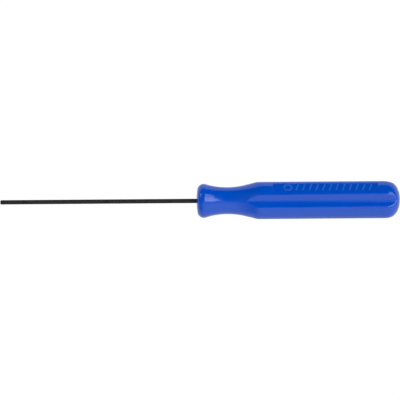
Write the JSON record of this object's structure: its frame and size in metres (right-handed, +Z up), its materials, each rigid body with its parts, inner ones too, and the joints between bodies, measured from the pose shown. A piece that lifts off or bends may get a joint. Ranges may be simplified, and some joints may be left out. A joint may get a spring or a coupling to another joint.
{
  "type": "hex key driver",
  "caption": "Small fixed-blade hexagon key driver with a one-piece fluted plastic handle, for turning socket-head screws.",
  "frame": {"origin": "under the middle of the overall length, on the surface the driver lies on", "axes": "+X runs along the driver from the blade's tip to the handle's domed end; +Z is up, and one flute faces it; the size panel is on the land between +Y and +Z"},
  "size_m": [0.165, 0.0152, 0.0152],
  "materials": {
    "blue_plastic": "glossy, faintly translucent moulded plastic",
    "black_steel": "black oxide on drawn steel, satin"
  },
  "bodies": {
    "root": {"handle": "blue_plastic", "hex_blade": "black_steel"}
  },
  "joints": []
}
